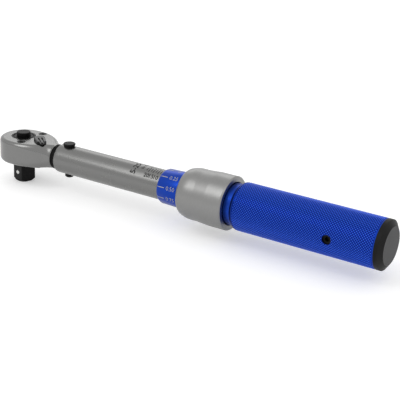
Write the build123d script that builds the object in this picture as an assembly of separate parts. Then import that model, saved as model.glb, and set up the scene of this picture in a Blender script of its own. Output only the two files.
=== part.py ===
"""Micrometer torque wrench with a reversible ratchet head, 3/8 inch square drive.

The long axis is X and runs from the drive to the cap; the drive axis is Z.
All shapes are drawn with the tube axis at height zero and lifted once, when they are
written, so that the origin lies at the middle of the square drive's end face.
"""

import os
from math import cos, pi, radians, sin, sqrt

from build123d import *

# Clearances
running_gap = 0.06      # radial gap of turning and sliding fits
axial_gap = 0.1         # end play between stacked pieces
screw_gap = 0.1         # radial gap of a screw shank in a plain hole
tilt_gap = 0.12         # play of the strut in the plunger's seat

# Tube
tube_r = 8.4
tube_wall = 1.6
tube_front = 28.3
tube_length = 151.7
tube_front_round = 1.15
tube_front_round_length = 2.6
tube_rear = tube_front + tube_length
tube_bore_r = tube_r - tube_wall
tube_front_r = tube_r - tube_front_round
mouth_land = 0.15
mouth_bore_r = tube_front_r - mouth_land
mouth_bore_depth = 2.7

# Rubber ring between the head and the tube
mouth_ring_length = 2.6
mouth_ring_edge = 0.35
mouth_ring_gap = 0.45
neck_gap = 0.3

# Pin on which the head tilts inside the tube
pivot_from_front = 6.2
pivot_x = tube_front + pivot_from_front
pivot_r = 2.55
pivot_collar_r = 3.2
pivot_head_r = 3.5
pivot_head_rise = 1.7
pivot_head_land = 0.9
pivot_head_edge = 0.3
pivot_tail = 1.8
pivot_tail_edge = 0.5
pivot_shoulder = 0.1

# Ratchet head
head_top = 7.4
head_bottom = -6.8
head_front_centre = 0.5
head_front_r = 14.2
head_flank_x = 10.0
head_flank_y = 13.5
head_shoulder_x = 18.5
head_shoulder_y = 9.9
head_top_round = 2.3
head_bottom_round = 2.6
neck_r = 7.1
neck_end = tube_front - mouth_ring_length - neck_gap
neck_land = 0.8
neck_sections = 8
waist_start = 3.0
stem_gap = 0.6
stem_r = tube_bore_r - stem_gap
stem_length = 15.6
mouth_ring_bore_r = stem_r + mouth_ring_gap
tongue_length = 33.0
tongue_width = 7.4
tongue_height = 8.4
tongue_root = 1.0
roof = 2.0

# Ratchet wheel with its square drive
tooth_count = 48
tooth_tip_r = 7.9
tooth_depth = 0.75
cavity_gap = 0.25
hub_r = 7.1
hub_recess = 0.1
hub_groove_r = 6.1
hub_groove_width = 0.5
hub_groove_depth = 0.4
journal_r = 6.9
square_size = 9.525
square_corner = 0.93
square_turn = -15.0
square_end = -19.8
square_bevel = 1.6
square_end_r = 5.0

# Release button and detent ball
button_r = 4.1
button_rise = 2.7
button_edge = 0.35
button_travel = 2.0
button_skirt = 4.75
button_chamber = 4.0
button_pin_r = 2.3
button_neck_r = 1.6
button_pin_end = 0.8
button_pin_chamfer = 0.7
button_pin_play = 0.2
button_wire_r = 0.35
button_coil_r = 3.2
button_coils = 3
ball_r = 1.5
ball_z = -14.5
ball_reach = 5.4
ball_turn = -105.0
ball_travel = 0.6

# Cover plate and its countersunk screws
cover_thickness = 1.5
cover_rim = 2.7
cover_rear = 18.2
screw_x = 6.5
screw_y = 9.5
screw_r = 1.3
screw_head_r = 2.4
screw_head_depth = 1.3
screw_sunk = 0.1
screw_end_play = 0.2
screw_socket = 1.8
screw_socket_depth = 0.7

# Reversing lever
lever_x = 12.25
lever_rest = -40.0
lever_hub_r = 3.35
lever_thickness = 1.5
lever_edge = 0.4
lever_reach = 10.4
lever_tab_half = 2.7
lever_tip_half = 0.55
lever_shoulder = 7.4
lever_groove = 0.85
lever_groove_depth = 0.7
lever_groove_side = 0.95
lever_groove_start = 1.0
lever_spindle_r = 2.2
lever_shaft_r = 1.7
lever_foot_r = 1.2
lever_end_play = 0.2
plunger_pin_r = 0.9
plunger_pin_reach = 3.5
plunger_pin_length = 2.6
plunger_pin_nose = 0.4
plunger_wall = 0.4
plunger_wire_r = 0.15
plunger_coil_r = 0.6
plunger_coils = 3

# Rocking pawl
pawl_hub_r = 5.2
pawl_swing = 5.0
pawl_arm_from = 22.0
pawl_arm_to = 42.0
pawl_arm_outer = 9.6
pawl_front_r = 8.9
pawl_pocket_gap = 0.4
pawl_pocket_edge = 1.6
pawl_pocket_step = 0.2
pawl_pocket_rear = 1.0
pawl_bridge_out = 0.4
pawl_bridge_in = 0.2
pawl_window_x = 3.75
pawl_window_play = 0.15
pawl_window_corner = 1.2
pawl_window_back = 0.3
pawl_window_slope = 1.5
tooth_gap = 0.07

# Strut that tips when the set torque is reached
strut_end_r = 2.0
strut_span = 7.0
strut_web = 2.4
strut_height = 8.0
seat_wrap = 0.3

# Spring train in the tube
slider_gap = 0.06
plunger_length = 11.2
spring_wire_radial = 1.9
spring_side_gap = 0.55
spigot_gap = 0.95
spigot_length = 7.0
spigot_edge = 0.8
spring_wire_axial = 2.4
spring_coils = 12
seat_length = 8.0
seat_to_nut = 8.0
thrust_ball_r = 2.5
thrust_gap = 0.05
thrust_offset = 0.6

# Adjusting screw and nut
thread_r = 3.9
nut_thread_gap = 0.08
nut_length = 14.0
nut_flange = 2.0
nut_flange_step = 0.3
screw_end_edge = 0.3
screw_end_chamfer = 0.6
screw_flange_length = 14.0
screw_relief_r = 3.2
screw_relief_length = 4.0

# Handle with the graduated sleeve in one piece
handle_overlap = 78.1
handle_travel = 12.0
handle_front = tube_rear - handle_overlap
sleeve_lip_r = tube_r + 0.75
sleeve_edge_r = tube_r + 1.35
sleeve_edge_length = 1.2
sleeve_r = tube_r + 1.75
sleeve_cone_length = 13.6
sleeve_land = 16.0
collar_r = tube_r + 3.1
collar_start = 21.3
collar_length = 25.6
grip_rise = 1.7
grip_ramp_length = 2.2
grip_r = collar_r + grip_rise
grip_length = 81.7
handle_bore_r = tube_r + 0.2
grip_edge = 0.3

# Set screw that clamps the adjusting screw in the handle
set_screw_from_flange = 7.7
set_screw_r = 2.5
set_screw_depth = 1.3
set_screw_tip_r = 1.5
set_screw_tip = 0.8
set_screw_socket = 2.5
set_screw_socket_depth = 1.6

# End cap
cap_r = grip_r - 0.1
cap_band = 2.2
cap_bevel = 2.0
cap_face_r = cap_r - 3.1
cap_spigot_gap = 6.5
cap_spigot_wall = 2.1

# Lock ring, its balls and the flutes in the tube
ring_setback = 13.7
ring_length = 29.4
ring_lip_bore_r = sleeve_r + 0.15
ring_front_r = sleeve_r + 1.15
ring_dome_x = 2.5
ring_dome_r = 0.85
ring_nose = 7.4
ring_nose_r = collar_r + 2.75
ring_flare_from = 11.5
ring_flare_to = 19.0
ring_r = collar_r + 3.3
ring_rear_edge = 0.7
ring_step_play = 0.3
ring_bore_gap = 0.1
ring_rear_bore_r = collar_r + 0.45
ring_rear_bore_depth = 10.0
ring_travel = 3.5
lock_ball_from_front = 26.1
lock_ball_lift = 0.1
lock_ball_travel = 0.55
lock_ball_proud = 1.0
lock_wedge_gap = 0.13
flute_count = 10
flute_play = 3.0
snap_ring_from_ball = 3.9
snap_ring_width = 1.0
snap_ring_height = 1.3
snap_ring_rise = 0.8
snap_ring_opening = 50.0
friction_ring_play = 0.6
friction_ring_wire_r = 0.9
friction_ring_squeeze = 0.05
groove_gap = 0.05

# Places that follow from the sizes above
lift = -square_end
roof_under = head_top - roof
cover_top = head_bottom + cover_thickness
wheel_top = roof_under - axial_gap
wheel_bottom = cover_top + axial_gap
cavity_r = tooth_tip_r + cavity_gap
strut_front = pivot_x + tongue_length
strut_rear = strut_front + strut_span
plunger_front = strut_rear + seat_wrap
plunger_rear = plunger_front + plunger_length
nut_front = tube_rear - nut_length
seat_rear = nut_front - seat_to_nut
seat_front = seat_rear - seat_length
spring_length = seat_front - plunger_rear
spring_coil_r = tube_bore_r - spring_side_gap - spring_wire_radial / 2
spigot_r = spring_coil_r - spring_wire_radial / 2 - spigot_gap
thrust_x = seat_rear + thrust_offset
screw_front = thrust_x + thrust_offset
screw_flange_x = tube_rear + nut_flange + handle_travel + screw_relief_length
screw_flange_r = handle_bore_r
set_screw_x = screw_flange_x + set_screw_from_flange
button_face = head_top - hub_recess + button_rise
button_under = button_face - button_skirt
chamber_floor = button_under - button_chamber
pin_foot = ball_z - button_pin_end
ball_centre = ball_reach - ball_r
step_x = handle_front + collar_start
grip_start = step_x + collar_length
grip_end = grip_start + grip_length
cap_rear = grip_end + cap_band + cap_bevel
ring_front = handle_front + ring_setback
ring_rear = ring_front + ring_length
ring_rear_bore_from = ring_rear - ring_rear_bore_depth
lock_ball_r = (collar_r + lock_ball_proud - tube_r - lock_ball_lift) / 2
lock_ball_centre = tube_r + lock_ball_lift + lock_ball_r
lock_ball_x = handle_front + lock_ball_from_front
flute_front = lock_ball_x - handle_travel - flute_play
flute_rear = lock_ball_x + flute_play
snap_ring_x = lock_ball_x + snap_ring_from_ball
snap_ring_r = collar_r + snap_ring_rise
snap_ring_inner_r = snap_ring_r - snap_ring_height
friction_ring_x = ring_rear_bore_from + ring_travel + friction_ring_wire_r + friction_ring_play
friction_ring_r = ring_rear_bore_r - friction_ring_wire_r - friction_ring_squeeze


def turned(*outline):
    """Solid of revolution about the long axis, from (station, radius) points."""
    return revolve(make_face(Polyline(*outline, close=True)), Axis.X)


def turned_curve(curve, *outline):
    """Solid of revolution whose outline is one curve, closed by (station, radius) points."""
    rest = Polyline(curve @ 1, *outline, curve @ 0)
    return revolve(make_face(Curve() + [curve, rest]), Axis.X)


def upright(*outline):
    """Solid of revolution about the drive axis, from (radius, height) points."""
    return revolve(Plane.XZ * make_face(Polyline(*outline, close=True)), Axis.Z)


def rod(radius, start, end):
    """Round bar on the long axis."""
    return Pos((start + end) / 2, 0, 0) * Rot(0, 90, 0) * Cylinder(radius, end - start)


def post(radius, low, high, x=0, y=0):
    """Round bar parallel to the drive axis."""
    return Pos(x, y, (low + high) / 2) * Cylinder(radius, high - low)


def slab(plan, low, high):
    """Flat plan shape raised between two heights."""
    return extrude(Pos(0, 0, low) * plan, high - low)


def about_lever(shape, angle):
    """The shape turned about the lever's axis."""
    return Pos(lever_x, 0, 0) * Rot(0, 0, angle) * Pos(-lever_x, 0, 0) * shape


def head_plan(inset=0.0):
    """The head from above: round front, flanks that sweep in to the neck."""
    radius = head_front_r - inset
    nose = CenterArc((head_front_centre, 0), radius, 90, 180)
    flats = [Line((head_front_centre, side * radius), (waist_start, side * radius)) for side in (-1, 1)]
    sides = [
        Spline(
            (waist_start, side * radius),
            (head_flank_x, side * (head_flank_y - inset)),
            (head_shoulder_x, side * (head_shoulder_y - inset)),
            (neck_end, side * (neck_r - inset)),
            tangents=((1, 0), (1, 0)),
        )
        for side in (-1, 1)
    ]
    rear = Line(sides[0] @ 1, sides[1] @ 1)
    return make_face(Curve() + [nose, *flats, *sides, rear])


def head_section(plan, share):
    """Cross section of the waist: a rounded rectangle that becomes round at the neck."""
    station = waist_start + (neck_end - neck_land - waist_start) * share
    strip = plan & (Pos(station, 0) * Rectangle(running_gap, head_front_r * 4))
    half = strip.bounding_box().max.Y
    rise = share * share
    top = head_top + (neck_r - head_top) * rise
    low = head_bottom + (-neck_r - head_bottom) * rise
    outline = Pos(0, (top + low) / 2) * Rectangle(half * 2, top - low)
    corner = min(half, (top - low) / 2) - axial_gap
    upper = head_top_round + (corner - head_top_round) * rise
    lower = head_bottom_round + (corner - head_bottom_round) * rise
    outline = fillet(outline.vertices().sort_by(Axis.Y)[-2:], upper)
    outline = fillet(outline.vertices().sort_by(Axis.Y)[:2], lower)
    return Pos(station, 0, 0) * Rot(0, 0, 90) * Rot(90, 0, 0) * outline


def cover_plan(gap=0.0):
    """The cover plate from below: the head's outline set in from its rim."""
    reach = head_front_r * 4
    return head_plan(cover_rim - gap) & (Pos(cover_rear + gap - reach / 2, 0) * Rectangle(reach, reach))


def wheel_plan(gap=0.0):
    """Toothed outline of the ratchet wheel, a tooth tip on the X axis."""
    tip = tooth_tip_r + gap
    root = tooth_tip_r - tooth_depth + gap
    step = pi / tooth_count
    points = []
    for i in range(tooth_count):
        points.append((tip * cos(2 * i * step), tip * sin(2 * i * step)))
        points.append((root * cos((2 * i + 1) * step), root * sin((2 * i + 1) * step)))
    return make_face(Polyline(*points, close=True))


def pawl_pocket_plan():
    """Room for the pawl in the head, wide enough for both of its positions."""
    tip = pawl_arm_outer + pawl_pocket_gap
    side = tip * sin(radians(pawl_arm_to)) + lever_x * sin(radians(pawl_swing))
    hub = pawl_hub_r + pawl_pocket_gap
    inner = cavity_r * cos(radians(pawl_arm_to + pawl_swing))
    rear = lever_x + pawl_pocket_rear
    arms = make_face(Polyline(
        (inner, side - pawl_pocket_gap * 2),
        (inner + pawl_pocket_edge, side),
        (pawl_front_r, side - pawl_pocket_step),
        (rear, hub),
        (rear, -hub),
        (pawl_front_r, -side + pawl_pocket_step),
        (inner + pawl_pocket_edge, -side),
        (inner, -side + pawl_pocket_gap * 2),
        close=True,
    ))
    return arms + Pos(lever_x, 0) * Circle(hub)


def make_head():
    """Forged head: ratchet housing, neck, stem for the pivot pin and tipping tongue."""
    plan = head_plan()
    keep = Pos(waist_start - head_front_r * 2, 0) * Rectangle(head_front_r * 4, head_front_r * 4)
    block = slab(plan & keep, head_bottom, head_top)
    ends = (head_bottom, head_top)
    for level, size in zip(ends, (head_bottom_round, head_top_round)):
        rim = block.edges().filter_by(lambda e: abs(e.center().Z - level) < 0.01)
        block = fillet(rim.filter_by(lambda e: e.center().X < waist_start - 0.01), size)
    waist = loft([head_section(plan, i / neck_sections) for i in range(neck_sections + 1)])
    neck = rod(neck_r, neck_end - neck_land, neck_end)
    neck += rod(stem_r, neck_end - neck_land, neck_end + stem_length)
    tongue_start = neck_end + stem_length - tongue_root
    tongue_end = strut_front - seat_wrap
    tongue = Pos((tongue_start + tongue_end) / 2, 0, 0) * Box(
        tongue_end - tongue_start, tongue_width, tongue_height
    )
    head = block + waist + neck + tongue
    head -= post(strut_end_r + running_gap, -tongue_height, tongue_height, strut_front)
    head -= post(pivot_r + running_gap, -tube_r, tube_r, pivot_x)
    head -= post(cavity_r, cover_top, roof_under)
    head -= slab(pawl_pocket_plan(), cover_top, roof_under)
    head -= post(hub_r + running_gap, 0, head_top * 2)
    head -= post(lever_spindle_r + running_gap, 0, head_top * 2, lever_x)
    head -= slab(cover_plan(running_gap), head_bottom * 2, cover_top)
    for side in (-1, 1):
        head -= Pos(screw_x, side * screw_y, 0) * screw_tool()
    return head


def screw_tool():
    """Clearance hole and countersink for a head screw."""
    top = head_top - screw_sunk
    return upright(
        (0, head_bottom),
        (screw_r + screw_gap, head_bottom),
        (screw_r + screw_gap, top - screw_head_depth),
        (screw_head_r + screw_gap, top),
        (screw_head_r + screw_gap, head_top * 2),
        (0, head_top * 2),
    )


def make_head_screws():
    """Two countersunk screws that hold the cover plate from above."""
    top = head_top - screw_sunk
    body = upright(
        (0, head_bottom + screw_end_play),
        (screw_r, head_bottom + screw_end_play),
        (screw_r, top - screw_head_depth),
        (screw_head_r, top - screw_gap),
        (screw_head_r, top),
        (0, top),
    )
    socket = slab(RegularPolygon(screw_socket / 2, 6, major_radius=False), top - screw_socket_depth, top)
    screw = body - socket
    return Compound(children=[Pos(screw_x, side * screw_y, 0) * screw for side in (-1, 1)])


def make_cover():
    """Plate that closes the head from below, threaded for the two screws."""
    plate = slab(cover_plan(), head_bottom, cover_top)
    plate -= post(journal_r + running_gap, head_bottom * 2, 0)
    plate -= post(lever_foot_r + running_gap, head_bottom * 2, 0, lever_x)
    for side in (-1, 1):
        plate -= post(screw_r, head_bottom * 2, 0, screw_x, side * screw_y)
    return plate


def make_drive():
    """Ratchet wheel, hub, journal and square drive in one piece."""
    wheel = slab(wheel_plan(), wheel_bottom, wheel_top)
    hub = post(hub_r, wheel_top, head_top - hub_recess)
    journal = post(journal_r, head_bottom - axial_gap, wheel_bottom)
    half = square_size / 2
    plan = fillet(Rectangle(square_size, square_size).vertices(), square_corner)
    corner_r = half * sqrt(2)
    square = slab(Rot(0, 0, square_turn) * plan, square_end, head_bottom - axial_gap)
    square &= upright(
        (0, square_end),
        (square_end_r, square_end),
        (corner_r, square_end + square_bevel),
        (corner_r, 0),
        (0, 0),
    )
    drive = wheel + hub + journal + square
    drive -= post(button_r + running_gap, chamber_floor, head_top * 2)
    drive -= post(button_pin_r + running_gap, pin_foot - button_travel - button_pin_play, chamber_floor)
    drive -= ball_hole()
    groove = post(hub_groove_r, head_top - hub_recess - hub_groove_depth, head_top)
    groove -= post(hub_groove_r - hub_groove_width, 0, head_top * 2)
    return drive - groove


def radial_rod(radius, start, end, angle, height, x=0):
    """Round bar that points away from an upright axis."""
    return Pos(x, 0, height) * Rot(0, 0, angle) * Pos((start + end) / 2, 0, 0) * Rot(0, 90, 0) * Cylinder(
        radius, end - start
    )


def ball_hole():
    """Radial hole for the detent ball."""
    return radial_rod(ball_r + running_gap, 0, square_size, ball_turn, ball_z)


def make_detent_ball():
    """Steel ball that holds the socket."""
    return Pos(0, 0, ball_z) * Rot(0, 0, ball_turn) * Pos(ball_centre, 0, 0) * Sphere(ball_r)


def make_button():
    """Push button with the pin whose cone lets the detent ball in."""
    slope = (button_pin_r - button_neck_r) * button_travel / ball_travel
    return upright(
        (0, pin_foot),
        (button_pin_r, pin_foot),
        (button_pin_r, ball_z),
        (button_neck_r, ball_z + slope),
        (button_neck_r, ball_z + slope + button_travel),
        (button_pin_r, ball_z + slope + button_travel + button_pin_chamfer),
        (button_pin_r, button_under),
        (button_r, button_under),
        (button_r, button_face - button_edge),
        (button_r - button_edge, button_face),
        (0, button_face),
    )


def coil(mean_r, section, length, turns):
    """A coil spring along Z from height zero, its wire section placed at the start."""
    path = Helix(pitch=length / turns, height=length, radius=mean_r)
    start = Plane(origin=path @ 0, x_dir=(1, 0, 0), z_dir=path % 0)
    return sweep(start * section, path=path, is_frenet=True)


def make_button_spring():
    """Return spring under the button."""
    height = button_chamber - 2 * button_wire_r
    spring = coil(button_coil_r, Circle(button_wire_r), height, button_coils)
    return Pos(0, 0, chamber_floor + button_wire_r) * spring


def make_lever():
    """Reversing lever: ridged tab, spindle, cross hole for the sprung plunger and foot."""
    low = head_top + axial_gap
    high = low + lever_thickness
    tab = make_hull(
        Circle(lever_hub_r).edges()
        + Polyline(
            (lever_shoulder, lever_tab_half),
            (lever_reach, lever_tip_half),
            (lever_reach, -lever_tip_half),
            (lever_shoulder, -lever_tab_half),
            close=True,
        ).edges()
    )
    plate = slab(tab, low, high)
    rims = [e for e in plate.edges() if e.center().Z > high - 0.01]
    plate = chamfer(rims, lever_edge)
    for side in (-1, 1):
        run = Pos(lever_reach / 2 + lever_groove_start, side * lever_groove_side, high) * Box(
            lever_reach, lever_groove, lever_groove_depth * 2
        )
        plate -= run
    spindle = upright(
        (0, head_bottom + lever_end_play),
        (lever_foot_r, head_bottom + lever_end_play),
        (lever_foot_r, cover_top + axial_gap),
        (lever_shaft_r, cover_top + axial_gap),
        (lever_shaft_r, roof_under - axial_gap),
        (lever_spindle_r, roof_under - axial_gap),
        (lever_spindle_r, low),
        (0, low),
    )
    lever = plate + spindle
    lever -= radial_rod(plunger_pin_r + running_gap, plunger_wall - lever_shaft_r, lever_reach, 0, 0)
    return Pos(lever_x, 0, 0) * Rot(0, 0, lever_rest) * lever


def make_lever_plunger():
    """Sprung pin in the lever's shaft that rocks the pawl."""
    start = plunger_pin_reach - plunger_pin_length
    body = rod(plunger_pin_r, start, plunger_pin_reach)
    body = fillet(body.edges().sort_by(Axis.X)[-1:], plunger_pin_nose)
    return Pos(lever_x, 0, 0) * Rot(0, 0, lever_rest) * body


def make_lever_spring():
    """Small coil behind the lever's plunger."""
    floor = plunger_wall - lever_shaft_r
    length = plunger_pin_reach - plunger_pin_length - floor - 2 * plunger_wire_r
    spring = coil(plunger_coil_r, Circle(plunger_wire_r), length, plunger_coils)
    placed = Pos(floor + plunger_wire_r, 0, 0) * Rot(0, 90, 0) * spring
    return Pos(lever_x, 0, 0) * Rot(0, 0, lever_rest) * placed


def pawl_arm():
    """Arm on the far side, as it lies with its teeth in the wheel."""
    inner = tooth_tip_r - tooth_depth + tooth_gap
    ring = Circle(pawl_arm_outer) - Circle(inner)
    reach = pawl_arm_outer * 2
    wedge = make_face(Polyline(
        (0, 0),
        (reach * cos(radians(pawl_arm_from)), reach * sin(radians(pawl_arm_from))),
        (reach * cos(radians(pawl_arm_to)), reach * sin(radians(pawl_arm_to))),
        close=True,
    ))
    return (ring & wedge) - wheel_plan(tooth_gap)


def make_pawl():
    """Rocking pawl with a toothed arm on each side and a window for the plunger."""
    outer_x = pawl_arm_outer * cos(radians(pawl_arm_to))
    outer_y = pawl_arm_outer * sin(radians(pawl_arm_to))
    bridge = make_face(Polyline(
        (outer_x + pawl_bridge_out, outer_y - pawl_bridge_in),
        (lever_x, pawl_hub_r),
        (lever_x, 0),
        (pawl_front_r, pawl_front_r * sin(radians(pawl_arm_from))),
        close=True,
    ))
    clear = Circle(pawl_front_r)
    arm = about_lever(pawl_arm(), -pawl_swing)
    half = arm + (bridge - clear)
    body = Pos(lever_x, 0) * Circle(pawl_hub_r) - clear
    plan = body + half + mirror(half, Plane.XZ)
    diagonal = plunger_pin_reach + pawl_window_play
    flat_y = diagonal * sqrt(2) - pawl_window_x
    corner_y = diagonal * sqrt(2) - pawl_window_corner
    window = make_face(Polyline(
        (pawl_window_x, -flat_y),
        (pawl_window_x, flat_y),
        (pawl_window_corner, corner_y),
        (-pawl_window_back, corner_y - pawl_window_slope),
        (-pawl_window_back, pawl_window_slope - corner_y),
        (pawl_window_corner, -corner_y),
        close=True,
    ))
    plan -= Pos(lever_x, 0) * (window + Circle(lever_shaft_r + running_gap))
    return slab(about_lever(plan, pawl_swing), wheel_bottom, wheel_top)


def make_strut():
    """Tipping strut between the tongue and the plunger, with round ends."""
    ends = post(strut_end_r, -strut_height / 2, strut_height / 2, strut_front)
    ends += post(strut_end_r, -strut_height / 2, strut_height / 2, strut_rear)
    web = Pos((strut_front + strut_rear) / 2, 0, 0) * Box(strut_span, strut_web, strut_height)
    return ends + web


def make_plunger():
    """Plunger that carries the main spring's force to the strut."""
    body = turned(
        (plunger_front, 0),
        (plunger_front, tube_bore_r - slider_gap),
        (plunger_rear, tube_bore_r - slider_gap),
        (plunger_rear, spigot_r),
        (plunger_rear + spigot_length - spigot_edge, spigot_r),
        (plunger_rear + spigot_length, spigot_r - spigot_edge),
        (plunger_rear + spigot_length, 0),
    )
    return body - post(strut_end_r + tilt_gap, -tube_r, tube_r, strut_rear)


def make_main_spring():
    """Main spring of rectangular wire."""
    length = spring_length - spring_wire_axial
    section = Rectangle(spring_wire_radial, spring_wire_axial)
    spring = coil(spring_coil_r, section, length, spring_coils)
    return Pos(plunger_rear + spring_wire_axial / 2, 0, 0) * Rot(0, 90, 0) * spring


def make_spring_seat():
    """Sliding seat between the main spring and the adjusting screw."""
    body = turned(
        (seat_front - spigot_length, 0),
        (seat_front - spigot_length, spigot_r - spigot_edge),
        (seat_front - spigot_length + spigot_edge, spigot_r),
        (seat_front, spigot_r),
        (seat_front, tube_bore_r - slider_gap),
        (seat_rear, tube_bore_r - slider_gap),
        (seat_rear, 0),
    )
    return body - Pos(thrust_x, 0, 0) * Sphere(thrust_ball_r + thrust_gap)


def make_thrust_ball():
    """Hard ball on which the adjusting screw turns."""
    return Pos(thrust_x, 0, 0) * Sphere(thrust_ball_r)


def make_adjusting_screw():
    """Adjusting screw with the flange that is clamped in the handle."""
    flange_end = screw_flange_x + screw_flange_length
    relief = screw_flange_x - screw_relief_length
    cup_end = thrust_x + thrust_ball_r * sqrt(2) + thrust_gap
    body = turned(
        (cup_end, 0),
        (screw_front, cup_end - screw_front),
        (screw_front, thread_r - screw_end_edge),
        (screw_front + screw_end_chamfer, thread_r),
        (relief, thread_r),
        (relief, screw_relief_r),
        (screw_flange_x, screw_relief_r),
        (screw_flange_x, screw_flange_r),
        (flange_end, screw_flange_r),
        (flange_end, 0),
    )
    dimple_from = screw_flange_r - set_screw_tip
    return body - radial_rod(set_screw_tip_r, dimple_from, screw_flange_r * 2, -90, 0, set_screw_x)


def make_nut():
    """Fixed nut, pressed into the tube's rear end."""
    return turned(
        (nut_front, thread_r + nut_thread_gap),
        (nut_front, tube_bore_r),
        (tube_rear, tube_bore_r),
        (tube_rear, tube_r - nut_flange_step),
        (tube_rear + nut_flange, tube_r - nut_flange_step),
        (tube_rear + nut_flange, thread_r + nut_thread_gap),
    )


def make_tube():
    """Tube with the pivot's holes and the flutes for the lock balls."""
    front = Spline(
        (tube_front, tube_front_r),
        (tube_front + tube_front_round_length, tube_r),
        tangents=((0.2, 1), (1, 0)),
    )
    tube = turned_curve(
        front,
        (tube_rear, tube_r),
        (tube_rear, tube_bore_r),
        (tube_front + mouth_bore_depth, tube_bore_r),
        (tube_front + mouth_bore_depth, mouth_bore_r),
        (tube_front, mouth_bore_r),
    )
    tube -= post(pivot_collar_r, 0, tube_r * 2, pivot_x)
    tube -= post(pivot_r, -tube_r * 2, 0, pivot_x)
    sink = lock_ball_centre - lock_ball_travel
    for i in range(flute_count):
        flute = Pos(0, 0, sink) * rod(lock_ball_r + running_gap, flute_front, flute_rear)
        tube -= Rot(360 * i / flute_count, 0, 0) * flute
    return tube


def make_mouth_ring():
    """Rubber ring that fills the gap between the head and the tube."""
    front = tube_front - mouth_ring_length
    return turned(
        (front, mouth_ring_bore_r),
        (front, tube_front_r - mouth_ring_edge),
        (front + mouth_ring_edge, tube_front_r),
        (tube_front, tube_front_r),
        (tube_front, mouth_bore_r),
        (tube_front + mouth_bore_depth, mouth_bore_r),
        (tube_front + mouth_bore_depth, mouth_ring_bore_r),
    )


def make_pivot_pin():
    """Pivot pin with a dished head above the tube and its tail below."""
    top = tube_r + pivot_head_rise
    tail = -(tube_r + pivot_tail)
    seat = tube_bore_r + pivot_shoulder
    pin = upright(
        (0, top),
        (pivot_head_r - pivot_head_edge, top),
        (pivot_head_r, top - pivot_head_edge),
        (pivot_head_r, top - pivot_head_land),
        (pivot_collar_r, tube_r),
        (pivot_collar_r, seat),
        (pivot_r, seat),
        (pivot_r, tail + pivot_tail_edge),
        (pivot_r - pivot_tail_edge, tail),
        (0, tail),
    )
    return Pos(pivot_x, 0, 0) * pin


def make_handle():
    """Graduated sleeve, collar for the lock ring and grip, turned in one piece."""
    ramp = Spline(
        (grip_start, collar_r),
        (grip_start + grip_ramp_length, grip_r),
        tangents=((1, 0), (1, 0)),
    )
    handle = turned_curve(
        ramp,
        (grip_end - grip_edge, grip_r),
        (grip_end, grip_r - grip_edge),
        (grip_end, handle_bore_r),
        (handle_front + sleeve_land, handle_bore_r),
        (handle_front + sleeve_land, tube_r + running_gap),
        (handle_front, tube_r + running_gap),
        (handle_front, sleeve_lip_r),
        (handle_front + sleeve_edge_length, sleeve_edge_r),
        (handle_front + sleeve_cone_length, sleeve_r),
        (step_x, sleeve_r),
        (step_x, collar_r),
    )
    handle -= turned(
        (snap_ring_x - groove_gap, snap_ring_inner_r - groove_gap),
        (snap_ring_x - groove_gap, collar_r * 2),
        (snap_ring_x + snap_ring_width + groove_gap, collar_r * 2),
        (snap_ring_x + snap_ring_width + groove_gap, snap_ring_inner_r - groove_gap),
    )
    handle -= Pos(friction_ring_x, 0, 0) * Rot(0, 90, 0) * Torus(
        friction_ring_r, friction_ring_wire_r + groove_gap
    )
    handle -= post(lock_ball_r + running_gap, -collar_r * 2, collar_r * 2, lock_ball_x)
    handle -= radial_rod(set_screw_r, 0, grip_r * 2, -90, 0, set_screw_x)
    return handle


def make_set_screw():
    """Socket set screw in the side of the grip."""
    outer = grip_r - set_screw_depth
    inner = screw_flange_r + axial_gap
    body = upright(
        (0, screw_flange_r - set_screw_tip),
        (set_screw_tip_r, screw_flange_r - set_screw_tip),
        (set_screw_tip_r, inner),
        (set_screw_r, inner),
        (set_screw_r, outer),
        (0, outer),
    )
    hexagon = RegularPolygon(set_screw_socket / 2, 6, major_radius=False)
    socket = slab(hexagon, outer - set_screw_socket_depth, outer)
    return Pos(set_screw_x, 0, 0) * Rot(90, 0, 0) * (body - socket)


def make_cap():
    """End cap with its spigot in the handle's bore."""
    spigot_end = screw_flange_x + screw_flange_length + cap_spigot_gap
    bore = handle_bore_r - cap_spigot_wall
    return turned(
        (spigot_end, bore),
        (spigot_end, handle_bore_r),
        (grip_end, handle_bore_r),
        (grip_end, cap_r),
        (grip_end + cap_band, cap_r),
        (cap_rear, cap_face_r),
        (cap_rear, 0),
        (grip_end, 0),
        (grip_end, bore),
    )


def make_lock_ring():
    """Lock ring: domed nose, flared skirt, wedge cone for the balls and rear bore."""
    bore = collar_r + ring_bore_gap
    slope = lock_ball_travel / ring_travel
    wedge = lock_ball_centre + lock_ball_r + lock_wedge_gap
    wedge_start = lock_ball_x - ring_travel - lock_ball_r
    step = step_x - ring_travel - ring_step_play
    stop = snap_ring_x + snap_ring_width + axial_gap
    dome = Spline(
        (ring_front, ring_front_r),
        (ring_front + ring_dome_x, ring_nose_r - ring_dome_r),
        (ring_front + ring_nose, ring_nose_r),
        tangents=((0.3, 1), (1, 0.02)),
    )
    return turned_curve(
        dome,
        (ring_front + ring_flare_from, ring_nose_r),
        (ring_front + ring_flare_to, ring_r),
        (ring_rear - ring_rear_edge, ring_r),
        (ring_rear, ring_r - ring_rear_edge),
        (ring_rear, ring_rear_bore_r),
        (ring_rear_bore_from, ring_rear_bore_r),
        (ring_rear_bore_from, bore),
        (stop, bore),
        (stop, wedge),
        (lock_ball_x, wedge),
        (wedge_start, wedge - slope * (lock_ball_x - wedge_start)),
        (wedge_start, bore),
        (step, bore),
        (step, ring_lip_bore_r),
        (ring_front, ring_lip_bore_r),
    )


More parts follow.
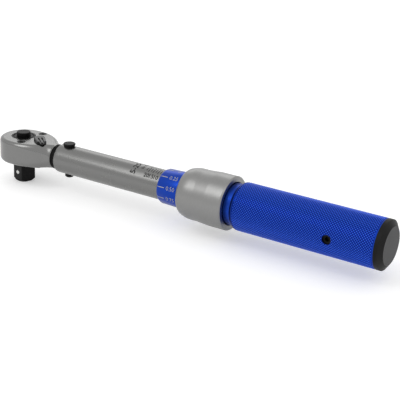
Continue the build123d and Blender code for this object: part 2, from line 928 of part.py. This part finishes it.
def make_snap_ring():
    """Open ring in the collar's groove that stops the lock ring."""
    ring = turned(
        (snap_ring_x, snap_ring_inner_r),
        (snap_ring_x, snap_ring_r),
        (snap_ring_x + snap_ring_width, snap_ring_r),
        (snap_ring_x + snap_ring_width, snap_ring_inner_r),
    )
    half = radians(snap_ring_opening / 2)
    reach = snap_ring_r * 2
    wedge = make_face(Polyline((0, 0), (reach, -reach * sin(half)), (reach, reach * sin(half)), close=True))
    cut = extrude(Plane.YZ.offset(snap_ring_x - 1) * wedge, snap_ring_width + 2)
    return ring - cut


def make_friction_ring():
    """Round rubber ring that keeps the lock ring where it is pushed."""
    return Pos(friction_ring_x, 0, 0) * Rot(0, 90, 0) * Torus(friction_ring_r, friction_ring_wire_r)


def make_lock_ball(end):
    """Lock ball, above or below the tube."""
    return Pos(lock_ball_x, 0, end * lock_ball_centre) * Sphere(lock_ball_r)


pieces = {
    "tube": make_tube(),
    "mouth_ring": make_mouth_ring(),
    "pivot_pin": make_pivot_pin(),
    "screw_nut": make_nut(),
    "ratchet_head": make_head(),
    "cover_plate": make_cover(),
    "head_screws": make_head_screws(),
    "drive_gear": make_drive(),
    "release_button": make_button(),
    "button_spring": make_button_spring(),
    "detent_ball": make_detent_ball(),
    "reverse_lever": make_lever(),
    "lever_plunger": make_lever_plunger(),
    "lever_spring": make_lever_spring(),
    "pawl": make_pawl(),
    "tilt_strut": make_strut(),
    "plunger": make_plunger(),
    "main_spring": make_main_spring(),
    "spring_seat": make_spring_seat(),
    "thrust_ball": make_thrust_ball(),
    "adjusting_screw": make_adjusting_screw(),
    "handle": make_handle(),
    "set_screw": make_set_screw(),
    "end_cap": make_cap(),
    "lock_ring": make_lock_ring(),
    "snap_ring": make_snap_ring(),
    "friction_ring": make_friction_ring(),
    "lock_ball_top": make_lock_ball(1),
    "lock_ball_bottom": make_lock_ball(-1),
}

os.makedirs("parts", exist_ok=True)
for name, shape in pieces.items():
    export_step(Pos(0, 0, lift) * shape, f"parts/{name}.step")
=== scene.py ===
"""Looks of the micrometer torque wrench: finishes, knurl, graduations, floor, light and camera."""

from math import cos, pi, radians

import bpy
import bmesh
from mathutils import Matrix, Vector


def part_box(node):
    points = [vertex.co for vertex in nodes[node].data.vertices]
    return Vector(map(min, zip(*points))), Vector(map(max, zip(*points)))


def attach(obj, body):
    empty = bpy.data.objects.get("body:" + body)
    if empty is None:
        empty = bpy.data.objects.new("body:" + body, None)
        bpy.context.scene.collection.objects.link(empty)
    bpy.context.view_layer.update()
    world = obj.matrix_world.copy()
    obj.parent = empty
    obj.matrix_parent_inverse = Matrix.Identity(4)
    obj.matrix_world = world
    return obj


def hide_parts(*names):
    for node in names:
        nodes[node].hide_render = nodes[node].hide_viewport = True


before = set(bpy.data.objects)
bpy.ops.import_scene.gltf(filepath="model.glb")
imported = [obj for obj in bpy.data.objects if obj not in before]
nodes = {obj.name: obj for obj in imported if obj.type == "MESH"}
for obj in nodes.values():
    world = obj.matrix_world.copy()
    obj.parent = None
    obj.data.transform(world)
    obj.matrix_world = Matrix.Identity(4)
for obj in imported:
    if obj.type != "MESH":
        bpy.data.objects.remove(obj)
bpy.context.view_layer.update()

MM = 0.001
scene = bpy.context.scene

# Places read from the frame, in metres
TUBE_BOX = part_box("tube")
HANDLE_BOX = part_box("handle")
AXIS_Z = (TUBE_BOX[0][2] + TUBE_BOX[1][2]) / 2
TUBE_R = (TUBE_BOX[1][2] - TUBE_BOX[0][2]) / 2
HANDLE_FRONT = HANDLE_BOX[0][0]
HANDLE_END = HANDLE_BOX[1][0]
GRIP_R = (HANDLE_BOX[1][2] - HANDLE_BOX[0][2]) / 2

# The handle's own stations and radii, from its front edge
SLEEVE_BORE_R = TUBE_R + 0.06 * MM
SLEEVE_LIP_R = TUBE_R + 0.75 * MM
SLEEVE_EDGE_R = TUBE_R + 1.35 * MM
SLEEVE_EDGE = 1.2 * MM
SLEEVE_R = TUBE_R + 1.75 * MM
SLEEVE_CONE = 13.6 * MM
SLEEVE_LAND = 16.0 * MM
STEP = 21.3 * MM
COLLAR_R = TUBE_R + 3.1 * MM
RAMP = 46.9 * MM
RAMP_LENGTH = 2.2 * MM
RAMP_STATIONS = 8
BORE_R = TUBE_R + 0.2 * MM
KNURL_START = HANDLE_FRONT + RAMP + RAMP_LENGTH
KNURL_EDGE = 0.5 * MM
# Diamond knurl: the squares around and along that its diamonds are drawn in, counted in the photograph
KNURL_AROUND = 55
KNURL_ALONG = 52
KNURL_DEPTH = 0.38 * MM
KNURL_WALL = 0.9 * MM
HOLE_STATION = (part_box("set_screw")[0][0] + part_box("set_screw")[1][0]) / 2
HOLE_R = (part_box("set_screw")[1][0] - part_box("set_screw")[0][0]) / 2
HOLE_SIDES = 62
TURNED_SIDES = 128
SMOOTH_ANGLE = radians(28)
MERGE_DISTANCE = 0.001 * MM


def linear(hex_colour):
    """sRGB hex to the linear colour that a shader socket takes."""
    channels = []
    for i in (0, 2, 4):
        value = int(hex_colour[i:i + 2], 16) / 255
        channels.append(value / 12.92 if value <= 0.04045 else ((value + 0.055) / 1.055) ** 2.4)
    return (*channels, 1.0)


def add_node(tree, kind, settings=None, links=None, **attributes):
    """Adds a shader node, sets its attributes and inputs, and links its inputs to other sockets."""
    node = tree.nodes.new(kind)
    for name, value in attributes.items():
        setattr(node, name, value)
    for name, value in (settings or {}).items():
        node.inputs[name].default_value = value
    for name, socket in (links or {}).items():
        tree.links.new(socket, node.inputs[name])
    return node


def new_material(name):
    """An empty node material with its output."""
    material = bpy.data.materials.new(name)
    material.use_nodes = True
    material.node_tree.nodes.clear()
    output = material.node_tree.nodes.new("ShaderNodeOutputMaterial")
    return material, material.node_tree, output


# Size of the slow patches in a surface's roughness
PATCH_SIZE = 9 * MM
# Sockets of the colour mix node: its two colours and its result
MIX_A, MIX_B, MIX_RESULT = 6, 7, 2


def finish(name, colour, metallic, roughness, grain_mm, grain_depth_mm, spread=0.05, colour_spread=0.0,
           stretch=(1, 1, 1), rear=None, crest=None, **sockets):
    """A surface with a fine grain in its bump and colour, and slow patches in its roughness.

    grain_mm is the size of the grain, grain_depth_mm its height, and stretch squeezes it
    along the axes, for turned and brushed surfaces. rear gives another colour, and the
    station behind which the surface has it; crest gives another colour, and the distances
    from the wrench's axis between which the surface passes over to it."""
    material, tree, output = new_material(name)
    place = add_node(tree, "ShaderNodeTexCoord")
    grain_place = add_node(tree, "ShaderNodeMapping", {"Scale": stretch}, {"Vector": place.outputs["Object"]})
    grain = add_node(
        tree, "ShaderNodeTexNoise", {"Scale": 1 / (grain_mm * MM), "Detail": 3.0, "Roughness": 0.6},
        {"Vector": grain_place.outputs["Vector"]},
    )
    patches = add_node(
        tree, "ShaderNodeTexNoise", {"Scale": 1 / PATCH_SIZE, "Detail": 2.0},
        {"Vector": place.outputs["Object"]},
    )
    rough = add_node(
        tree, "ShaderNodeMapRange", {"To Min": roughness - spread, "To Max": roughness + spread},
        {"Value": patches.outputs["Fac"]},
    )
    bump = add_node(
        tree, "ShaderNodeBump", {"Strength": 1.0, "Distance": grain_depth_mm * MM},
        {"Height": grain.outputs["Fac"]},
    )
    settings = {"Metallic": metallic}
    for socket, value in sockets.items():
        settings[socket.replace("_", " ")] = value
    links = {"Roughness": rough.outputs["Result"], "Normal": bump.outputs["Normal"]}
    base = linear(colour)
    dark = tuple(c * (1 - colour_spread) for c in base[:3]) + (1.0,)
    light = tuple(min(1.0, c * (1 + colour_spread)) for c in base[:3]) + (1.0,)
    tint = add_node(
        tree, "ShaderNodeMix", {MIX_A: dark, MIX_B: light}, {0: grain.outputs["Fac"]}, data_type="RGBA"
    )
    # Painted sheen: behind the station the surface takes the lighter rear colour
    if rear:
        rear_sheen_colour, rear_from = rear
        along = add_node(tree, "ShaderNodeSeparateXYZ", None, {"Vector": place.outputs["Object"]})
        behind = add_node(
            tree, "ShaderNodeMath", {1: rear_from}, {0: along.outputs["X"]}, operation="GREATER_THAN"
        )
        tint = add_node(
            tree, "ShaderNodeMix", {MIX_B: linear(rear_sheen_colour)},
            {0: behind.outputs["Value"], MIX_A: tint.outputs[MIX_RESULT]}, data_type="RGBA",
        )
    # Painted highlight and shade: the colour passes over to the crest colour with the distance from the axis
    if crest:
        crest_highlight_colour, low, high = crest
        across = add_node(
            tree, "ShaderNodeMapping", {"Location": (0, 0, -AXIS_Z), "Scale": (0, 1, 1)},
            {"Vector": place.outputs["Object"]},
        )
        radius = add_node(
            tree, "ShaderNodeVectorMath", None, {0: across.outputs["Vector"]}, operation="LENGTH"
        )
        height = add_node(
            tree, "ShaderNodeMapRange", {"From Min": low, "From Max": high},
            {"Value": radius.outputs["Value"]},
        )
        tint = add_node(
            tree, "ShaderNodeMix", {MIX_B: linear(crest_highlight_colour)},
            {0: height.outputs["Result"], MIX_A: tint.outputs[MIX_RESULT]}, data_type="RGBA",
        )
    links["Base Color"] = tint.outputs[MIX_RESULT]
    shader = add_node(tree, "ShaderNodeBsdfPrincipled", settings, links)
    tree.links.new(shader.outputs["BSDF"], output.inputs["Surface"])
    return material


# Blasting grit, turning lines and mould texture are mostly a few hundredths of a millimetre, too fine to
# show, so the grains of these finishes are drawn several times as coarse

# Steel, blasted and then chromed: a soft grey sheen with an even grain
satin_chrome = finish("satin_chrome_on_blasted_steel", "787877", 1.0, 0.28, 0.35, 0.004, 0.05, 0.06)
# Steel, belt-ground across the head and then chromed: fine scratches that run across the wrench
ground_chrome = finish(
    "satin_chrome_on_ground_steel", "7B7B7A", 1.0, 0.24, 0.9, 0.012, 0.05, 0.16, stretch=(5, 0.6, 3)
)
# Aluminium, fine-turned and clear anodised: paler than the chrome, with faint lines around it
satin_aluminium = finish(
    "clear_anodised_turned_aluminium", "888887", 1.0, 0.36, 1.0, 0.008, 0.05, 0.12, stretch=(5, 0.5, 0.5)
)
# Aluminium, turned and dyed blue in the anodising bath: metallic depth under a smooth hard skin
blue_anodised = finish(
    "blue_anodised_turned_aluminium", "1C3E9E", 1.0, 0.32, 0.25, 0.002, 0.04, 0.06, stretch=(6, 1, 1)
)
# The same blue on the knurl, with painted light: paler towards its points as a painted highlight, and darker
# in its deep grooves as painted shade
blue_knurl_painted_light = finish(
    "blue_anodised_rolled_knurl_painted_light", "09298A", 1.0, 0.22, 0.25, 0.002, 0.04, 0.06,
    crest=("4270EA", GRIP_R - KNURL_DEPTH * 0.8, GRIP_R - KNURL_DEPTH * 0.1),
)
# Steel, blackened in hot salts: near black with a dull oily gloss
black_oxide = finish(
    "black_oxide_on_machined_steel", "0A0A0A", 0.0, 0.42, 0.4, 0.003, 0.06, 0.15, Specular_IOR_Level=0.12
)
# Steel, blackened in hot salts and polished by the thumb: glossier than the other black pieces
rubbed_oxide = finish(
    "black_oxide_rubbed_smooth", "0A0A0A", 0.0, 0.22, 0.4, 0.002, 0.05, 0.15, Specular_IOR_Level=0.28
)
# Steel balls, ground and lapped
lapped_steel = finish("lapped_ball_steel", "C8C8C6", 1.0, 0.14, 0.2, 0.0004, 0.02)
# Inner steel pieces as they come from the lathe
turned_steel = finish("turned_steel", "82817E", 1.0, 0.38, 0.3, 0.003, 0.05, 0.08, stretch=(6, 1, 1))
# Brass nut, turned
turned_brass = finish("turned_brass", "B08D4C", 1.0, 0.35, 0.3, 0.003, 0.05, 0.08, stretch=(6, 1, 1))
# Nitrile rubber, moulded: dull black with a fine pitted skin
moulded_rubber = finish(
    "moulded_nitrile_rubber", "080808", 0.0, 0.62, 0.3, 0.006, 0.06, 0.2, IOR=1.5, Specular_IOR_Level=0.1
)
# Nylon cap, moulded in a spark-eroded tool: near black with a fine even texture; its flat rear face is
# painted greyer, a painted sheen where it faces the light
moulded_nylon = finish(
    "moulded_black_nylon_painted_rear_sheen", "0C0C0C", 0.0, 0.5, 0.28, 0.012, 0.05, 0.12,
    rear=("3E3E3F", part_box("end_cap")[1][0] - 0.05 * MM), IOR=1.53, Specular_IOR_Level=0.15,
)
# Laser marks: bare aluminium through the blue, and darkened chrome on the tube
bare_mark = finish("laser_mark_bare_aluminium", "B4B0A4", 0.3, 0.55, 0.2, 0.002, 0.04)
dark_mark = finish("laser_mark_dark_on_chrome", "161616", 0.0, 0.6, 0.2, 0.002, 0.04, Specular_IOR_Level=0.15)

NODE_FINISH = {
    "tube": satin_chrome,
    "ratchet_head": ground_chrome,
    "cover_plate": ground_chrome,
    "lock_ring": satin_aluminium,
    "drive_gear": black_oxide,
    "release_button": black_oxide,
    "reverse_lever": rubbed_oxide,
    "head_screws": black_oxide,
    "pivot_pin": black_oxide,
    "set_screw": black_oxide,
    "mouth_ring": moulded_rubber,
    "friction_ring": moulded_rubber,
    "end_cap": moulded_nylon,
    "screw_nut": turned_brass,
    "detent_ball": lapped_steel,
    "thrust_ball": lapped_steel,
    "lock_ball_top": lapped_steel,
    "lock_ball_bottom": lapped_steel,
}
for name, node in nodes.items():
    for slot in node.material_slots:
        slot.material = NODE_FINISH.get(name, turned_steel)


def clear_selection():
    """Nothing selected before a new primitive is added."""
    if bpy.context.mode != "OBJECT":
        bpy.ops.object.mode_set(mode="OBJECT")
    bpy.ops.object.select_all(action="DESELECT")


def select_only(piece):
    """The piece alone selected, and active."""
    clear_selection()
    bpy.context.view_layer.objects.active = piece
    piece.select_set(True)


def settle(piece, name, material, body):
    """Places the mesh where it stands, names the piece, and gives it its finish and its body."""
    select_only(piece)
    bpy.ops.object.transform_apply(location=True, rotation=True, scale=True)
    piece.name = name
    piece.data.name = name
    piece.data.materials.clear()
    piece.data.materials.append(material)
    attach(piece, body)
    return piece


def turn_outline(outline, steps):
    """A closed turned shape about the tube's axis: a ring of points, pulled out station by station."""
    clear_selection()
    station, radius = outline[0]
    bpy.ops.mesh.primitive_circle_add(
        vertices=steps, radius=radius, fill_type="NOTHING", location=(station, 0, AXIS_Z),
        rotation=(0, pi / 2, 0),
    )
    piece = bpy.context.active_object
    bpy.ops.object.transform_apply(location=True, rotation=True, scale=True)
    bpy.ops.object.mode_set(mode="EDIT")
    bpy.ops.mesh.select_all(action="SELECT")
    for next_station, next_radius in outline[1:] + outline[:1]:
        step = (next_station - station, 0, 0)
        bpy.ops.mesh.extrude_region_move(TRANSFORM_OT_translate={"value": step})
        scale = next_radius / radius
        bpy.ops.transform.resize(value=(1, scale, scale), center_override=(next_station, 0, AXIS_Z))
        station, radius = next_station, next_radius
    bpy.ops.mesh.select_all(action="SELECT")
    bpy.ops.mesh.remove_doubles(threshold=MERGE_DISTANCE)
    bpy.ops.mesh.normals_make_consistent(inside=False)
    bpy.ops.object.mode_set(mode="OBJECT")
    return piece


def drill(piece, radius, station, inner, outer):
    """Cuts the round hole of the set screw into the near side."""
    clear_selection()
    bpy.ops.mesh.primitive_cylinder_add(
        vertices=HOLE_SIDES, radius=radius, depth=outer - inner,
        location=(station, -(inner + outer) / 2, AXIS_Z), rotation=(pi / 2, 0, 0),
    )
    cutter = bpy.context.active_object
    cut = piece.modifiers.new("hole", "BOOLEAN")
    cut.operation = "DIFFERENCE"
    cut.solver = "EXACT"
    cut.object = cutter
    select_only(piece)
    bpy.ops.object.modifier_apply(modifier=cut.name)
    bpy.data.objects.remove(cutter)


# Handle: the sleeve, collar and core under the knurl, and the knurled skin of the grip
knurl_valley = GRIP_R - KNURL_DEPTH
knurl_blank = GRIP_R - KNURL_DEPTH / 2
knurl_end = HANDLE_END - KNURL_EDGE


def make_sleeve():
    """Graduated sleeve, collar, curved ramp and grip core in one turned shape."""
    core = knurl_valley - KNURL_WALL
    ramp = []
    for i in range(RAMP_STATIONS + 1):
        share = i / RAMP_STATIONS
        rise = share * share * (3 - 2 * share)
        station = HANDLE_FRONT + RAMP + share * RAMP_LENGTH
        ramp.append((station, COLLAR_R + rise * (knurl_blank - COLLAR_R)))
    outline = [
        (HANDLE_FRONT, SLEEVE_BORE_R),
        (HANDLE_FRONT, SLEEVE_LIP_R),
        (HANDLE_FRONT + SLEEVE_EDGE, SLEEVE_EDGE_R),
        (HANDLE_FRONT + SLEEVE_CONE, SLEEVE_R),
        (HANDLE_FRONT + STEP, SLEEVE_R),
        (HANDLE_FRONT + STEP, COLLAR_R),
        *ramp,
        (KNURL_START, core),
        (knurl_end, core),
        (knurl_end, knurl_blank),
        (HANDLE_END, knurl_valley),
        (HANDLE_END, BORE_R),
        (HANDLE_FRONT + SLEEVE_LAND, BORE_R),
        (HANDLE_FRONT + SLEEVE_LAND, SLEEVE_BORE_R),
    ]
    sleeve = turn_outline(outline, TURNED_SIDES)
    drill(sleeve, HOLE_R, HOLE_STATION, BORE_R - MM, GRIP_R + MM)
    select_only(sleeve)
    bpy.ops.object.shade_smooth_by_angle(angle=SMOOTH_ANGLE)
    return settle(sleeve, "handle_sleeve_and_core", blue_anodised, "handle")


def make_knurl():
    """Diamond knurl: a tube cut into squares, crossed into diamonds, each diamond raised to a point."""
    clear_selection()
    length = knurl_end - KNURL_START
    middle = (KNURL_START + length / 2, 0, AXIS_Z)
    bpy.ops.mesh.primitive_cylinder_add(
        vertices=KNURL_AROUND, radius=knurl_valley, depth=length, end_fill_type="NOTHING",
        location=middle, rotation=(0, pi / 2, 0),
    )
    knurl = bpy.context.active_object
    bpy.ops.object.transform_apply(location=True, rotation=True, scale=True)
    bpy.ops.object.mode_set(mode="EDIT")
    bpy.ops.mesh.select_mode(type="EDGE")
    mesh = bmesh.from_edit_mesh(knurl.data)
    for edge in mesh.edges:
        edge.select = abs(edge.verts[0].co.x - edge.verts[1].co.x) > length / 2
    bmesh.update_edit_mesh(knurl.data)
    bpy.ops.mesh.subdivide(number_cuts=KNURL_ALONG - 1)
    # The seams remember the squares' edges, but for those of the two open ends
    bpy.ops.mesh.select_all(action="SELECT")
    bpy.ops.mesh.mark_seam(clear=False)
    bpy.ops.mesh.select_all(action="DESELECT")
    bpy.ops.mesh.select_non_manifold()
    bpy.ops.mesh.mark_seam(clear=True)
    bpy.ops.mesh.select_mode(type="FACE")
    bpy.ops.mesh.select_all(action="SELECT")
    bpy.ops.mesh.poke(offset=knurl_valley * (1 - cos(pi / KNURL_AROUND)))
    bpy.ops.mesh.select_mode(type="EDGE")
    bpy.ops.mesh.select_all(action="DESELECT")
    mesh = bmesh.from_edit_mesh(knurl.data)
    for edge in mesh.edges:
        edge.select = edge.seam
    bmesh.update_edit_mesh(knurl.data)
    bpy.ops.mesh.dissolve_edges(use_verts=False)
    bpy.ops.mesh.select_mode(type="FACE")
    bpy.ops.mesh.select_all(action="DESELECT")
    bpy.ops.mesh.select_face_by_sides(number=4, type="EQUAL")
    bpy.ops.mesh.poke(offset=KNURL_DEPTH)
    # The open ends are drawn in and joined by an inner wall
    bpy.ops.mesh.select_mode(type="EDGE")
    bpy.ops.mesh.select_all(action="DESELECT")
    bpy.ops.mesh.select_non_manifold()
    bpy.ops.mesh.extrude_region_move()
    scale = (knurl_valley - KNURL_WALL) / knurl_valley
    bpy.ops.transform.resize(value=(1, scale, scale), center_override=middle)
    bpy.ops.mesh.bridge_edge_loops()
    bpy.ops.mesh.select_all(action="SELECT")
    bpy.ops.mesh.normals_make_consistent(inside=False)
    bpy.ops.object.mode_set(mode="OBJECT")
    drill(knurl, HOLE_R, HOLE_STATION, BORE_R, GRIP_R + MM)
    return settle(knurl, "grip_knurl", blue_knurl_painted_light, "handle")


sleeve = make_sleeve()
knurl = make_knurl()
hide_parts("handle")
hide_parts("handle")


# Graduations: flat marks, pressed down onto the round surface from above and turned to their places
MARK_RISE = 0.012 * MM
MARK_DEPTH = 0.04 * MM
MARK_STEP = 0.5 * MM
MARK_DROP = 5 * MM
TEXT_STEPS = 3
TICK_WIDTH = 0.34 * MM
TICK_LENGTH = 4.6 * MM
TICK_FROM = 0.4 * MM
FIGURE_SIZE = 3.2 * MM
FIGURE_FROM = 9.0 * MM
FIGURE_WEIGHT = -0.01
DIVISIONS = 10
DIVISION_VALUE = 0.25
ZERO_ANGLE = 2.0


def slice_flat(piece):
    """Cuts a flat mark into narrow strips, so that it can follow the round surface."""
    select_only(piece)
    bpy.ops.object.mode_set(mode="EDIT")
    for axis in (0, 1):
        corners = [corner[axis] for corner in piece.bound_box]
        count = int((max(corners) - min(corners)) / MARK_STEP) + 1
        step = (max(corners) - min(corners)) / count
        for i in range(1, count):
            cut = min(corners) + i * step
            bpy.ops.mesh.select_all(action="SELECT")
            bpy.ops.mesh.bisect(plane_co=(cut, cut, 0), plane_no=(1, 0, 0) if axis == 0 else (0, 1, 0))
    bpy.ops.object.mode_set(mode="OBJECT")


def turn_mark(piece, angle):
    """Turns a mark about the wrench's axis, from the top towards the near side."""
    select_only(piece)
    bpy.ops.transform.rotate(value=-radians(angle), orient_axis="X", center_override=(0, 0, AXIS_Z))
    bpy.ops.object.transform_apply(location=True, rotation=True, scale=True)


def press_on(piece, station, target, radius):
    """Drops a flat mark onto the top of the target at a station, and gives it a thickness."""
    slice_flat(piece)
    select_only(piece)
    piece.location = (station, 0, AXIS_Z + radius + MARK_DROP)
    bpy.ops.object.transform_apply(location=True, rotation=True, scale=True)
    wrap = piece.modifiers.new("wrap", "SHRINKWRAP")
    wrap.target = target
    wrap.wrap_method = "PROJECT"
    wrap.wrap_mode = "ABOVE_SURFACE"
    wrap.use_project_z = True
    wrap.use_positive_direction = False
    wrap.use_negative_direction = True
    wrap.offset = MARK_RISE
    bpy.ops.object.modifier_apply(modifier=wrap.name)
    wall = piece.modifiers.new("wall", "SOLIDIFY")
    wall.thickness = MARK_DEPTH
    wall.offset = -1.0
    bpy.ops.object.modifier_apply(modifier=wall.name)
    return piece


def flat_bar(length, width):
    """A flat bar along X, centred."""
    clear_selection()
    bpy.ops.mesh.primitive_plane_add(size=1.0, location=(0, 0, 0))
    piece = bpy.context.active_object
    piece.scale = (length, width, 1)
    bpy.ops.object.transform_apply(location=True, rotation=True, scale=True)
    return piece


def flat_figures(words, size, weight=0.0, turned=False):
    """Flat figures about the origin, reading along X, or up the Y axis where turned.

    weight makes them bolder, or finer where it is below nought."""
    clear_selection()
    bpy.ops.object.text_add(location=(0, 0, 0))
    piece = bpy.context.active_object
    piece.data.body = words
    piece.data.size = size
    piece.data.align_x = "CENTER"
    piece.data.align_y = "CENTER"
    piece.data.resolution_u = TEXT_STEPS
    piece.data.offset = weight * size
    bpy.ops.object.convert(target="MESH")
    piece = bpy.context.active_object
    if turned:
        piece.rotation_euler = (0, 0, pi / 2)
        bpy.ops.object.transform_apply(location=True, rotation=True, scale=True)
    return piece


def copy_mark(piece, angle, shift=0.0):
    """A copy of a mark with a mesh of its own, moved along the axis and turned to its angle."""
    select_only(piece)
    bpy.ops.object.duplicate(linked=False)
    copy = bpy.context.active_object
    copy.location.x += shift
    bpy.ops.object.transform_apply(location=True, rotation=True, scale=True)
    turn_mark(copy, angle)
    return copy


def join_marks(pieces, name, material, body):
    """One piece from many marks."""
    clear_selection()
    for piece in pieces:
        piece.select_set(True)
    bpy.context.view_layer.objects.active = pieces[0]
    bpy.ops.object.join()
    settle(bpy.context.active_object, name, material, body)


def make_sleeve_marks():
    """Ten divisions on the sleeve, each with its value, a quarter apart."""
    tick = press_on(
        flat_bar(TICK_LENGTH, TICK_WIDTH), HANDLE_FRONT + TICK_FROM + TICK_LENGTH / 2, sleeve, SLEEVE_R
    )
    marks = []
    for i in range(DIVISIONS):
        angle = ZERO_ANGLE + 360 * i / DIVISIONS
        marks.append(copy_mark(tick, angle))
        words = "0" if i == 0 else f"{i * DIVISION_VALUE:.2f}"
        figures = flat_figures(words, FIGURE_SIZE, FIGURE_WEIGHT)
        press_on(figures, HANDLE_FRONT + FIGURE_FROM, sleeve, SLEEVE_R)
        turn_mark(figures, angle)
        marks.append(figures)
    bpy.data.objects.remove(tick)
    join_marks(marks, "sleeve_graduations", bare_mark, "handle")


# The main scale: one line for each turn of the handle, a figure for each second one
TURN_TRAVEL = 1.5 * MM
TURNS = 7
TURN_VALUE = 2.5
LOWEST = 5
INDEX_WIDTH = 0.25 * MM
SCALE_LINE = 0.42 * MM
LONG_LINE = 4.2 * MM
SHORT_LINE = 2.8 * MM
LINE_ANGLE = 16.0
FIGURE_ANGLE = 47.0
SCALE_FIGURE = 3.4 * MM
SCALE_WEIGHT = 0.02
# The range and the unit: words, size, distance in front of the handle and angle
SCALE_WORDS = (("5-25", 4.6 * MM, 17.9 * MM, 25.0), ("N\u00b7m", 2.8 * MM, 13.6 * MM, 6.0))


def make_tube_marks():
    """Index line, scale lines and figures on top of the tube, with the range and the unit."""
    tube = nodes["tube"]
    travel = TURN_TRAVEL * TURNS
    marks = [press_on(flat_bar(travel, INDEX_WIDTH), HANDLE_FRONT - travel / 2, tube, TUBE_R)]
    turn_mark(marks[0], ZERO_ANGLE)
    lines = [
        press_on(flat_bar(SCALE_LINE, height), HANDLE_FRONT, tube, TUBE_R)
        for height in (LONG_LINE, SHORT_LINE)
    ]
    for i in range(1, TURNS + 1):
        marks.append(copy_mark(lines[i % 2], LINE_ANGLE, -TURN_TRAVEL * i))
        if i % 2 == 0:
            figures = flat_figures(f"{LOWEST + TURN_VALUE * i:.0f}", SCALE_FIGURE, SCALE_WEIGHT)
            press_on(figures, HANDLE_FRONT - TURN_TRAVEL * i, tube, TUBE_R)
            turn_mark(figures, FIGURE_ANGLE)
            marks.append(figures)
    for words, size, back, angle in SCALE_WORDS:
        figures = flat_figures(words, size, SCALE_WEIGHT, turned=True)
        press_on(figures, HANDLE_FRONT - back, tube, TUBE_R)
        turn_mark(figures, angle)
        marks.append(figures)
    for line in lines:
        bpy.data.objects.remove(line)
    join_marks(marks, "tube_scale", dark_mark, "tube")


make_sleeve_marks()
make_tube_marks()


def seen_directly(tree):
    """One where the camera, a reflection or a clear piece looks, nought where only light is gathered."""
    path = add_node(tree, "ShaderNodeLightPath")
    shown = add_node(
        tree, "ShaderNodeMath", None, {0: path.outputs["Is Camera Ray"], 1: path.outputs["Is Glossy Ray"]},
        operation="MAXIMUM",
    )
    through = add_node(
        tree, "ShaderNodeMath", None, {0: shown.outputs["Value"], 1: path.outputs["Is Transmission Ray"]},
        operation="MAXIMUM",
    )
    return through.outputs["Value"]


# Floor: matt and pale; a little glow that only direct looks and reflections see lifts it to white
FLOOR_SIZE = 8.0
FLOOR_GLOW = 0.28
clear_selection()
bpy.ops.mesh.primitive_plane_add(size=FLOOR_SIZE, location=(0.1, 0, 0))
floor = bpy.context.active_object
floor.name = "floor"
floor_material, tree, output = new_material("pale_matt_floor")
seen = seen_directly(tree)
glow = add_node(tree, "ShaderNodeMath", {1: FLOOR_GLOW}, {0: seen}, operation="MULTIPLY")
matt = add_node(tree, "ShaderNodeBsdfDiffuse", {"Color": linear("F2F2F2")})
light = add_node(tree, "ShaderNodeEmission", {"Color": (1, 1, 1, 1)}, {"Strength": glow.outputs["Value"]})
both = add_node(tree, "ShaderNodeAddShader", None, {0: matt.outputs["BSDF"], 1: light.outputs["Emission"]})
tree.links.new(both.outputs["Shader"], output.inputs["Surface"])
floor.data.materials.append(floor_material)

# World: white where it is seen, and dimmer as a lamp
WORLD_AS_LAMP = 0.80
world = bpy.data.worlds.new("studio")
scene.world = world
world.use_nodes = True
tree = world.node_tree
tree.nodes.clear()
output = tree.nodes.new("ShaderNodeOutputWorld")
strength = add_node(
    tree, "ShaderNodeMapRange", {"To Min": WORLD_AS_LAMP, "To Max": 1.0}, {"Value": seen_directly(tree)}
)
sky = add_node(
    tree, "ShaderNodeBackground", {"Color": (1, 1, 1, 1)}, {"Strength": strength.outputs["Result"]}
)
tree.links.new(sky.outputs["Background"], output.inputs["Surface"])


def soft_lamp(name, place, target, size, power):
    """A large soft rectangular lamp that faces the wrench."""
    lamp = bpy.data.objects.new(name, bpy.data.lights.new(name, "AREA"))
    scene.collection.objects.link(lamp)
    lamp.data.shape = "RECTANGLE"
    lamp.data.size, lamp.data.size_y = size
    lamp.data.energy = power
    lamp.location = place
    lamp.rotation_euler = (Vector(place) - Vector(target)).to_track_quat("Z", "Y").to_euler()


MIDDLE = (0.11, 0.0, AXIS_Z)
soft_lamp("key_lamp", (-0.25, -0.55, 0.75), MIDDLE, (0.4, 0.6), 1.9)
soft_lamp("rear_lamp", (0.84, -0.10, 0.50), MIDDLE, (0.3, 0.3), 0.4)
soft_lamp("back_lamp", (-0.35, 0.62, 0.45), MIDDLE, (0.5, 0.3), 0.5)

# Camera, at the place and angle fitted to the photograph
VIEW_BACK = Vector((0.4879140, -0.7923328, 0.3662630))
VIEW_RIGHT = Vector((0.8423488, 0.5374125, 0.0404512))
VIEW_UP = Vector((-0.2288851, 0.2887845, 0.9296317))
CAMERA_PLACE = Vector((0.4051796, -0.4563178, 0.2079344 + AXIS_Z))
FOCAL_PIXELS = 1070.365
IMAGE_PIXELS = 400
SENSOR_MM = 36.0
camera = bpy.data.objects.new("camera", bpy.data.cameras.new("camera"))
scene.collection.objects.link(camera)
camera.data.sensor_width = SENSOR_MM
camera.data.lens = FOCAL_PIXELS / IMAGE_PIXELS * SENSOR_MM
camera.data.clip_start = 0.01
turn = Matrix((VIEW_RIGHT, VIEW_UP, VIEW_BACK)).transposed().to_4x4()
camera.matrix_world = Matrix.Translation(CAMERA_PLACE) @ turn
scene.camera = camera
scene.view_settings.view_transform = "Standard"
